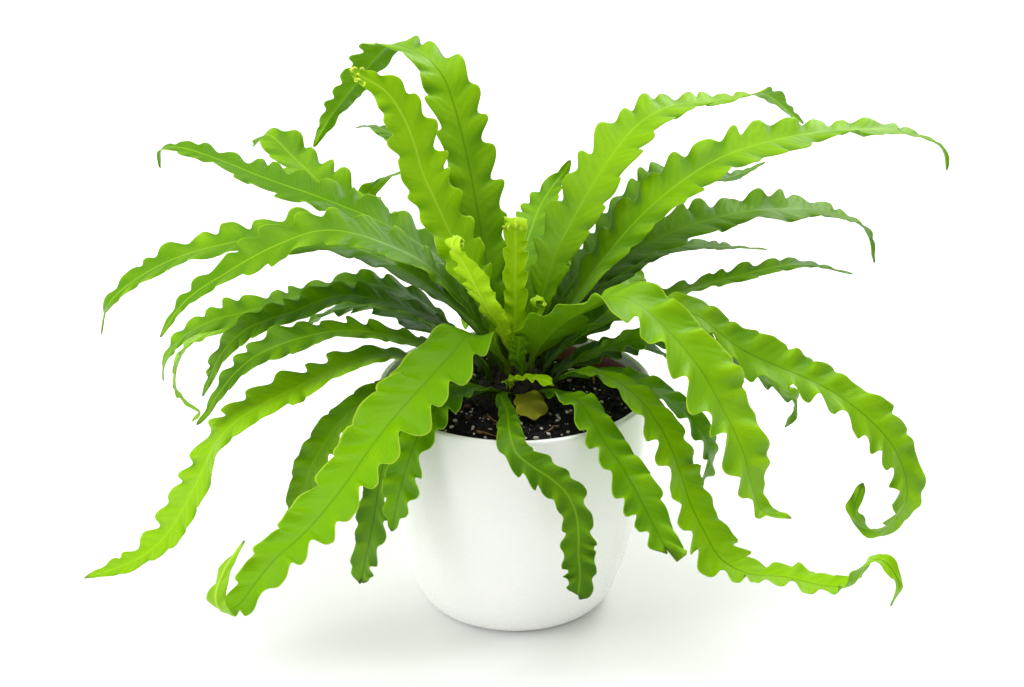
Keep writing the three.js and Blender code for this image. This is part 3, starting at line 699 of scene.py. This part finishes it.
def build_leaf_skin():
    white = (1.0, 1.0, 1.0, 1.0)
    tree, given, result = new_group(
        "leaf_skin",
        {"Deep": white, "Light": white, "Rib": white, "Groove": white, "Underside": white, "Foot": white,
         "Vein spacing": 0.17},
        {"Colour": "NodeSocketColor", "Roughness": "NodeSocketFloat", "Height": "NodeSocketFloat"})
    where = add_node(tree, "ShaderNodeTexCoord").outputs["Object"]
    foot, rib, share, edge, crest, shade, sunken, underside = (
        leaf_number(tree, name)
        for name in ("from_foot", "from_rib", "share", "edge", "crest", "shade", "sunken", "underside"))
    deep, light, pale, groove = (given[part] for part in ("Deep", "Light", "Rib", "Groove"))
    broad = noise_value(tree, where, 28.0, 3)
    fine = noise_value(tree, where, 420.0, 4, 0.6)

    wobble = times(tree, noise_value(tree, where, 90.0, 2), 0.22)
    slanted = calc(tree, "SUBTRACT", plus(tree, foot, wobble), times(tree, rib, 0.75))
    vein_turns = calc(tree, "DIVIDE", times(tree, slanted, 2 * math.pi), given["Vein spacing"])
    clear = times(tree, fade(tree, edge, 0.04, 0.2), fade(tree, broad, 0.3, 0.65))
    veins = times(tree, fade(tree, calc(tree, "SINE", vein_turns), 0.1, 1.0), clear)
    swerve = plus(tree, slanted, times(tree, noise_value(tree, where, 45.0, 2), 1.1))
    pleat = calc(tree, "SINE", times(tree, swerve, 2 * math.pi / PLEAT_SPACING))
    pleats = times(tree, fade(tree, pleat, -0.9, 1.0), fade(tree, edge, 0.02, 0.3))

    # Painted highlight: crests are painted paler. Each leaf's shade also makes it paler or darker, partly its
    # own tone and partly painted light.
    patches_and_highlight = plus(tree, plus(tree, times(tree, crest, 0.4), broad), times(tree, shade, 0.18))
    colour = blend(tree, fade(tree, patches_and_highlight, 0.2, 0.95), deep, light)
    # Painted shade: the pleat bands are painted darker. The same bands are also bumps in the height below.
    colour = tint(tree, colour, deep, pleats, 0.12)
    colour = tint(tree, colour, light, veins, 0.16)
    colour = tint(tree, colour, deep, fade(tree, fine, 0.45, 0.7), 0.12)
    rib_mask = without(tree, fade(tree, rib, 0.03, 0.085))
    # Painted shade: on some fronds the rib is painted as a dark line, the shade of a furrow that the mesh
    # doesn't have. On the others it is a pale line.
    colour = tint(tree, colour, blend(tree, sunken, pale, groove), rib_mask, 0.5)
    colour = tint(tree, colour, pale, fade(tree, edge, 0.95, 0.99), 0.7)
    below = tint(tree, given["Underside"], light, veins, 0.3)
    below = tint(tree, below, pale, rib_mask, 0.6)
    colour = blend(tree, underside, colour, below)

    cells = add_node(tree, "ShaderNodeTexVoronoi")
    feed(tree, cells.inputs["Vector"], where)
    cells.inputs["Scale"].default_value = 230.0
    speck = without(tree, fade(tree, cells.outputs["Distance"], 0.06, 0.11))
    speck = times(tree, speck, fade(tree, noise_value(tree, where, 60.0, 2), 0.52, 0.62))
    colour = tint(tree, colour, pale, speck, 0.4)
    # Painted shade near the crown: the lower half of each blade is painted darker, towards the shade green.
    colour = tint(tree, colour, groove, without(tree, fade(tree, share, 0.1, 0.5)), 0.55)
    colour = tint(tree, colour, given["Foot"], fade(tree, share, 0.985, 1.0), 0.6)
    colour = tint(tree, colour, given["Foot"], without(tree, fade(tree, share, 0.015, 0.13)), 0.8)
    feed(tree, result["Colour"], colour)
    feed(tree, result["Roughness"], plus(tree, 0.26, times(tree, fine, 0.18)))
    bumps = plus(tree, times(tree, veins, 0.2), times(tree, fine, 0.25))
    feed(tree, result["Height"], calc(tree, "SUBTRACT", bumps, times(tree, pleats, 0.35)))
    return tree


leaf_skin = build_leaf_skin()
print("leaf_skin has", len(leaf_skin.nodes), "nodes")

# %% [markdown]
# ## Five tones of green
# The youngest fronds in the middle are lime, the next ones bright, and the older ones below them deeper
# green. These dark, mid and bright tones are partly the fronds' age and partly painted light: fronds that lie
# in shade are painted in the dark tone. One small leaf on the soil is withering. Thin leaves let light
# through, and it comes out more yellow than it went in. A Translucent shader mixed with the Principled one
# does that.

# %% Leaf materials
def leaf_material(name, deep, light, rib, groove, underside, foot, through, spacing=0.17):
    material, tree, shader = new_material(name)
    paints = dict(Deep=deep, Light=light, Rib=rib, Groove=groove, Underside=underside, Foot=foot)
    paints = {part: srgb(*paint) for part, paint in paints.items()}
    skin = use_group(tree, leaf_skin, Vein_spacing=spacing, **paints)
    normal = add_bump(tree, skin["Height"], 0.7, 0.0005)
    feed(tree, shader.inputs["Base Color"], skin["Colour"])
    feed(tree, shader.inputs["Roughness"], skin["Roughness"])
    feed(tree, shader.inputs["Normal"], normal)
    shader.inputs["Specular IOR Level"].default_value = 0.11
    glow = add_node(tree, "ShaderNodeBsdfTranslucent")
    feed(tree, glow.inputs["Color"], blend(tree, 0.6, skin["Colour"], srgb(*through)))
    feed(tree, glow.inputs["Normal"], normal)
    mixed = add_node(tree, "ShaderNodeMixShader")
    mixed.inputs[0].default_value = 0.25
    feed(tree, mixed.inputs[1], shader.outputs[0])
    feed(tree, mixed.inputs[2], glow.outputs[0])
    feed(tree, tree.nodes["Material Output"].inputs["Surface"], mixed.outputs[0])
    return material


LEAF_PAINT = {
    "dark": leaf_material("leaf_dark", (68, 112, 0), (114, 164, 2), (136, 180, 34), (36, 70, 0),
                          (100, 148, 14), (42, 40, 12), (126, 196, 4)),
    "mid": leaf_material("leaf_mid", (92, 144, 0), (146, 198, 6), (166, 212, 44), (58, 102, 2),
                         (120, 170, 24), (46, 44, 14), (156, 214, 4)),
    "bright": leaf_material("leaf_bright", (116, 170, 0), (160, 210, 8), (196, 226, 70), (74, 122, 2),
                            (140, 190, 30), (70, 84, 18), (184, 232, 4)),
    "young": leaf_material("leaf_young", (144, 196, 0), (190, 228, 12), (212, 238, 80), (160, 200, 10),
                           (178, 220, 34), (120, 150, 26), (214, 242, 6), 0.12),
    "old": leaf_material("leaf_old", (132, 132, 24), (190, 190, 56), (160, 150, 56), (110, 100, 30),
                         (160, 156, 60), (80, 60, 26), (204, 194, 36)),
}
print("leaf materials:", list(LEAF_PAINT))

# %% The leaves
leaf_pieces = [make_leaf(leaf, LEAF_PAINT[leaf.tone]) for leaf in LEAVES]
print("leaf faces:", sum(len(piece.data.polygons) for piece in leaf_pieces))

# %% [markdown]
# ## Fine wear
# Pots, soil, roots and crown share one effect: soft cloudy patches with fine grain in them. It is a node
# group, so that each material sets its own size of patch and grain.

# %% Cloud group
def build_cloud():
    tree, given, result = new_group(
        "cloud", {"Patch scale": 20.0, "Grain scale": 300.0},
        {"Patches": "NodeSocketFloat", "Grain": "NodeSocketFloat"})
    where = add_node(tree, "ShaderNodeTexCoord").outputs["Object"]
    feed(tree, result["Patches"], fade(tree, noise_value(tree, where, given["Patch scale"], 4), 0.35, 0.65))
    feed(tree, result["Grain"], noise_value(tree, where, given["Grain scale"], 3, 0.6))
    return tree


cloud = build_cloud()


def cloudy_material(name, first, second, patch_scale, grain_scale, roughness, grain_depth, bump=0.3):
    """A material whose colour drifts between two tones, with grain in its roughness and its surface."""
    material, tree, shader = new_material(name)
    looks = use_group(tree, cloud, Patch_scale=patch_scale, Grain_scale=grain_scale)
    feed(tree, shader.inputs["Base Color"], blend(tree, looks["Patches"], srgb(*first), srgb(*second)))
    low, high = roughness
    feed(tree, shader.inputs["Roughness"], plus(tree, low, times(tree, looks["Grain"], high - low)))
    feed(tree, shader.inputs["Normal"], add_bump(tree, looks["Grain"], bump, grain_depth))
    return material


print("cloud group ready")

# %% [markdown]
# ## The cover pot
# The cover pot is a round shell that bulges gently, with a narrow rounded lip and a flat base. A few points
# give the wall its curve, and a spline through them makes it smooth. The profile is repeated as columns of
# points round the upright axis, and faces join each column to the next.

# %% Cover pot
POT_OUTSIDE = [(48, 0), (54, 2), (58.5, 7), (68, 35), (75.5, 80), (78.5, 120), (80, 137)]
POT_LIP = [(79.7, 137.6), (79.1, 137.95), (78.3, 138), (77.5, 137.95), (76.9, 137.6)]
POT_INSIDE = [(76.6, 137), (75.5, 120), (72.5, 80), (65, 35), (58, 12), (53, 4)]


def curved(points, steps):
    """A smooth profile through a few points of (radius, height)."""
    return [(r, z) for r, _, z in spline([(r, 0, z) for r, z in points], steps)]


def round_point(radius, angle, height):
    return (radius * MM * math.cos(angle), radius * MM * math.sin(angle), height * MM)


def ring_faces(rings, sides):
    """Faces of a closed body made of a first point on the axis, columns of points round it and a last point.
    They look outwards where the columns run from the base to the top, or to the inside floor."""
    last = rings * sides + 1
    faces = []
    for side in range(sides):
        near, far = 1 + side * rings, 1 + (side + 1) % sides * rings
        faces.append((0, far, near))
        for a in range(rings - 1):
            faces.append((near + a + 1, near + a, far + a, far + a + 1))
        faces.append((last, near + rings - 1, far + rings - 1))
    return faces


def turned_piece(name, profile, sides, crease=35):
    """Spins a profile of (radius, height) in millimetres, from the base to the top or inside floor, round +Z.
    Edges sharper than crease degrees stay crisp."""
    angles = np.arange(sides) * 2 * math.pi / sides
    first, *rings, last = profile
    points = [round_point(radius, angle, height) for angle in angles for radius, height in rings]
    points = [round_point(0, 0, first[1]), *points, round_point(0, 0, last[1])]
    piece = mesh_piece(name, points, ring_faces(len(rings), sides))
    piece.data.set_sharp_from_angle(angle=math.radians(crease))
    return piece


pot_white = cloudy_material(
    "pot_white", (240, 240, 237), (244, 244, 241), 9.0, 1600.0, (0.24, 0.3), 0.00001, 0.05)
pot_shader = pot_white.node_tree.nodes["Principled BSDF"]
pot_shader.inputs["Coat Weight"].default_value = 0.25
pot_shader.inputs["Coat Roughness"].default_value = 0.18
cover_profile = [(0, 0)] + curved(POT_OUTSIDE, 8) + POT_LIP + curved(POT_INSIDE, 6) + [(0, 4)]
cover_pot = turned_piece("cover_pot_shell", cover_profile, 128)
place_piece(cover_pot, "cover_pot", pot_white)
print("cover pot size:", [round(v, 3) for v in cover_pot.dimensions])

# %% [markdown]
# ## The nursery pot
# Inside stands the thin red-brown pot that the fern was grown in. Only its rolled lip shows, just under the
# white rim. It is spun in the same way, and its drain holes are cut with a Boolean modifier.

# %% Nursery pot
NURSERY_PROFILE = [
    (0, 4.3), (51, 4.3), (52, 5.6), (72.3, 122.4), (72.9, 123.2), (74.6, 123.6), (75, 124.2), (75, 131.2),
    (74.7, 131.8), (74.3, 132), (73.9, 131.8), (73.6, 131.2), (73.5, 125), (71.2, 123.4), (70.9, 122),
    (50.7, 5.8), (0, 5.7)]


def cut_holes(piece, count, ring, radius, height):
    """Cuts a ring of round holes through a floor."""
    for index in range(count):
        place = direction(360 / count * index) * ring * MM
        bpy.ops.mesh.primitive_cylinder_add(vertices=24, radius=radius * MM, depth=0.006)
        cutter = bpy.context.object
        cutter.location = (place[0], place[1], height * MM)
        modifier = piece.modifiers.new("hole", "BOOLEAN")
        modifier.operation = "DIFFERENCE"
        modifier.object = cutter
        bpy.context.view_layer.objects.active = piece
        bpy.ops.object.modifier_apply(modifier=modifier.name)
        bpy.data.objects.remove(cutter)


nursery_pot = turned_piece("nursery_pot_shell", NURSERY_PROFILE, 96)
cut_holes(nursery_pot, 5, 30, 4, 5)
terracotta = cloudy_material(
    "nursery_pot_plastic", (104, 50, 32), (128, 66, 42), 30.0, 700.0, (0.42, 0.6), 0.0001)
place_piece(nursery_pot, "nursery_pot", terracotta)
print("nursery pot faces:", len(nursery_pot.data.polygons))

# %% [markdown]
# ## Soil
# Potting soil is a dark crumbly mix of peat, bark and roots. Its top is a grid of points in rings, raised
# and sunk by noise, and the grid goes on down the wall and across the bottom, so that the body is closed.

# %% Soil body
SOIL_PROFILE = [(0, 129), (36, 129), (50, 128.4), (68.8, 124)]
SOIL_EDGE = 69.5
SOIL_BOTTOM = 6.1


def soil_height(radius, angle):
    """The height of the soil's top in millimetres, with lumps of three sizes that die out at the edge."""
    level = np.interp(radius, *zip(*SOIL_PROFILE))
    x, y = radius * math.cos(angle), radius * math.sin(angle)
    lumps = noise.noise((x / 9, y / 9, 0)) * 1.1 + noise.noise((x / 3, y / 3, 5)) * 0.9
    lumps = lumps + noise.noise((x / 1.4, y / 1.4, 9)) * 0.5
    return level + lumps * min(1, max(0, (SOIL_EDGE - radius) / 2))


def make_soil(sides=240):
    rings = [(50, SOIL_BOTTOM), (60, 65)] + [(radius, None) for radius in np.linspace(1.2, 69.6, 56)[::-1]]
    points = [(0, 0, SOIL_BOTTOM * MM)]
    for angle in np.arange(sides) * 2 * math.pi / sides:
        for radius, height in rings:
            z = soil_height(radius, angle) if height is None else height
            points.append(round_point(radius, angle, z))
    points.append((0, 0, soil_height(0, 0) * MM))
    return mesh_piece("soil_body", points, ring_faces(len(rings), sides))


soil_dark = cloudy_material(
    "soil_dark", (5, 4, 3), (22, 17, 13), 220.0, 1500.0, (0.8, 1.0), 0.0012, 0.9)
soil_body = make_soil()
place_piece(soil_body, "soil", soil_dark)
print("soil faces:", len(soil_body.data.polygons))

# %% [markdown]
# ## Grains on the soil
# On top lie crumbs of peat, white and tan grains of perlite and pumice, and flakes of bark. Each grain is a
# small ball of 80 faces, squashed and dented by its own random numbers. All grains of one kind are one mesh.

# %% Grains
def ball_shape():
    ball = bmesh.new()
    bmesh.ops.create_icosphere(ball, subdivisions=2, radius=1)
    points = np.array([v.co for v in ball.verts])
    faces = np.array([[v.index for v in face.verts] for face in ball.faces])
    ball.free()
    return points, faces


FACES_PER_GRAIN = 80
STREWN_FROM = 20
STREWN_TO = 68


def scatter_grains(name, count, sizes, flatness, seed, material, sink=0.2):
    """Grains of sizes (least, most) in millimetres strewn over the soil, more of them small than large."""
    draw = np.random.default_rng(seed)
    ball, faces = ball_shape()
    points, all_faces = [], []
    for index in range(count):
        radius = math.sqrt(draw.uniform(STREWN_FROM**2, STREWN_TO**2))
        angle = draw.uniform(0, 2 * math.pi)
        size = sizes[0] + (sizes[1] - sizes[0]) * draw.random() ** 2.2
        stretch = np.array([draw.uniform(0.7, 1.3), draw.uniform(0.6, 1.1), draw.uniform(0.7, 1.1)])
        stretch[2] *= flatness
        dents = 1 + draw.normal(0, 0.12, (len(ball), 1))
        spin = Matrix.Rotation(draw.uniform(0, 6.3), 3, "Z")
        turn = np.array(spin @ Matrix.Rotation(draw.normal(0, 0.4), 3, "X"))
        grain = (ball * dents * stretch * size / 2) @ turn.T
        height = soil_height(radius, angle) + size * sink
        centre = (radius * math.cos(angle), radius * math.sin(angle), height)
        points.append((grain + centre) * MM)
        all_faces.append(faces + index * len(ball))
    piece = mesh_piece(name, np.concatenate(points), np.concatenate(all_faces).tolist())
    place_piece(piece, None, material)
    return piece


perlite = cloudy_material(
    "perlite", (206, 196, 176), (240, 234, 222), 160.0, 1500.0, (0.8, 1.0), 0.0004)
bark = cloudy_material("bark", (40, 26, 17), (92, 64, 40), 120.0, 1200.0, (0.6, 0.9), 0.0006)
grain_pieces = [
    scatter_grains("soil_crumbs", 1500, (0.9, 3.6), 0.8, 3, soil_dark),
    scatter_grains("perlite_grains", 260, (0.7, 3.0), 0.8, 5, perlite, 0.35),
    scatter_grains("bark_flakes", 90, (2.0, 6.0), 0.3, 7, bark, 0.15),
]
print("grains:", [len(piece.data.polygons) // FACES_PER_GRAIN for piece in grain_pieces])

# %% [markdown]
# ## Dead roots
# A few dry, tan ends of roots curl up out of the soil. Each is a thin tube along a spline. The tube's rings
# turn with the path, and its ends close in a point.

# %% Dead roots
def tube(path, radii, sides=8):
    """A closed tube round a path of points. Its radius may change along the way."""
    path = np.array(path, float)
    along = unit(np.gradient(path, axis=0))
    side = unit(np.cross(along, [0, 0, 1.0]))
    up = np.cross(side, along)
    angles = np.arange(sides) * 2 * math.pi / sides
    ring = side[:, None] * np.cos(angles)[None, :, None] + up[:, None] * np.sin(angles)[None, :, None]
    points = (path[:, None] + ring * np.asarray(radii)[:, None, None]).reshape(-1, 3)
    faces = []
    for i in range(len(path) - 1):
        for k in range(sides):
            a, b = i * sides + k, i * sides + (k + 1) % sides
            faces.append((a, a + sides, b + sides, b))
    faces.append(tuple(range(sides)))
    faces.append(tuple(range(len(points) - 1, len(points) - 1 - sides, -1)))
    return points, faces


def join_parts(parts):
    """Several lists of points and faces as one."""
    points, faces, count = [], [], 0
    for part_points, part_faces in parts:
        points.append(part_points)
        faces += [tuple(corner + count for corner in face) for face in part_faces]
        count += len(part_points)
    return np.concatenate(points), faces


ROOTS = [(258, 45, 22), (246, 52, 14), (300, 48, 12), (20, 50, 16), (100, 46, 14), (170, 50, 12),
         (330, 56, 10), (222, 58, 11)]


def make_roots():
    """One tube for each root's azimuth, radius and length."""
    draw = np.random.default_rng(11)
    parts = []
    for azimuth, radius, length in ROOTS:
        place = direction(azimuth) * radius
        heading = math.radians(draw.uniform(0, 360))
        path = []
        for step in range(6):
            lift = 0.8 + 1.6 * math.sin(step / 5 * math.pi)
            path.append(place + np.array([0, 0, soil_height(radius, math.radians(azimuth)) + lift]))
            heading += draw.normal(0, 0.6)
            place = place + np.array([math.cos(heading), math.sin(heading), 0]) * length / 5
        line = spline(path, 8)
        parts.append(tube(line, np.linspace(1.0, 0.25, len(line)) * draw.uniform(0.7, 1.1)))
    points, faces = join_parts(parts)
    return mesh_piece("dead_roots", points * MM, faces)


root_tan = cloudy_material(
    "root_tan", (120, 88, 52), (176, 140, 92), 200.0, 1500.0, (0.6, 0.85), 0.0003)
dead_roots = make_roots()
place_piece(dead_roots, None, root_tan)
print("dead roots:", len(dead_roots.data.polygons), "faces")

# %% [markdown]
# ## Curled tips
# The lobes at the tip of the youngest fronds are still rolled up, each like a tiny snail. Such a curl is a
# tube along a spiral. A handful of them sit along the last edge points of the blades that are still opening.

# %% Curled tips
def curl(centre, size, draw):
    """A tiny spiral tube, turned at random."""
    turn = np.linspace(0, 2.6 * math.pi, 15)
    done = turn / turn[-1]
    reach = size * (1 - 0.6 * done)
    first, second, third = np.linalg.qr(draw.normal(size=(3, 3)))[0]
    path = centre + (np.cos(turn) * reach)[:, None] * first + (np.sin(turn) * reach)[:, None] * second
    path = path + (done * size * 0.6)[:, None] * third
    return tube(path, np.linspace(0.5, 0.3, len(path)) * size, 6)


# Where along a blade its curls start, as a share of its length, how many there are, and their size.
CURLS = {
    "frond_07": (0.955, 9, 1.5),
    "young_frond_1": (0.94, 10, 1.8),
    "young_frond_2": (0.9, 16, 1.7),
    "young_frond_4": (0.6, 7, 1.4),
}


def make_curls(leaf, material):
    start, count, size = CURLS[leaf.name]
    draw = np.random.default_rng(count + len(leaf.name))
    surface = blade_rows(leaf, np.random.default_rng(1))[0]
    parts = []
    for _ in range(count):
        station = int(len(surface) * draw.uniform(start, 1)) - 1
        across = int(draw.choice([0, 3, 9, 15, 18]))
        parts.append(curl(surface[station, across], size * draw.uniform(0.6, 1.0), draw))
    points, faces = join_parts(parts)
    piece = mesh_piece(leaf.name + "_curls", points * MM, faces)
    place_piece(piece, None, material)
    return piece


bud_green = cloudy_material(
    "bud_green", (170, 206, 20), (208, 230, 60), 300.0, 1500.0, (0.35, 0.5), 0.0002)
curl_pieces = [make_curls(leaf, bud_green) for leaf in LEAVES if leaf.name in CURLS]
print("curled tips:", [piece.name for piece in curl_pieces])

# %% [markdown]
# ## The crown
# The fronds stand on a short upright stem, hidden in brown scales. The stem is a turned cone, roughened by
# noise, that rises over the steps on which the stalks stand. The scales are small pointed blades that lean
# out all round it.

# %% Crown
CROWN_PROFILE = [(0, 120), (26, 120), (26, 131.6), (21, 137), (15, 143), (9, 148.4), (3, 150), (0, 150)]


def roughen(piece, size, depth):
    for vertex in piece.data.vertices:
        push = noise.noise(vertex.co / size) * depth
        vertex.co += vertex.normal * push


def make_scales(count, seed):
    """Small pointed scales on the crown's slope, each a closed blade of seven points and seven faces."""
    draw = np.random.default_rng(seed)
    parts = []
    for _ in range(count):
        azimuth = draw.uniform(0, 360)
        rise = draw.random()
        radius = 26.5 - 20 * rise
        base = direction(azimuth) * radius + np.array([0, 0, 128.5 + 20 * rise])
        out = direction(azimuth + draw.normal(0, 14))
        wide = np.cross(out, [0, 0, 1.0]) * draw.uniform(0.5, 1.0)
        tip = base + out * draw.uniform(1.0, 3.0) + np.array([0, 0, draw.uniform(2.5, 6.0)])
        middle = (base + tip) / 2 + out * 0.5
        thick = out * 0.15
        points = np.array([base - wide, base + wide, middle + wide, middle - wide, tip,
                           base + thick * 2, middle + thick * 3])
        faces = [(0, 3, 2, 1), (3, 4, 2), (0, 1, 5), (1, 2, 6, 5), (3, 0, 5, 6), (2, 4, 6), (4, 3, 6)]
        parts.append((points, faces))
    points, faces = join_parts(parts)
    return mesh_piece("crown_scales", points * MM, faces)


fibre_brown = cloudy_material(
    "fibre_brown", (20, 15, 10), (46, 35, 21), 260.0, 1800.0, (0.7, 0.95), 0.0008, 0.7)
crown_stem = turned_piece("crown_stem", curved(CROWN_PROFILE, 5), 72, 60)
roughen(crown_stem, 0.0035, 0.0008)
place_piece(crown_stem, "crown", fibre_brown)
crown_scales = make_scales(420, 13)
place_piece(crown_scales, None, fibre_brown)
print("crown scales:", len(crown_scales.data.polygons) // 7)
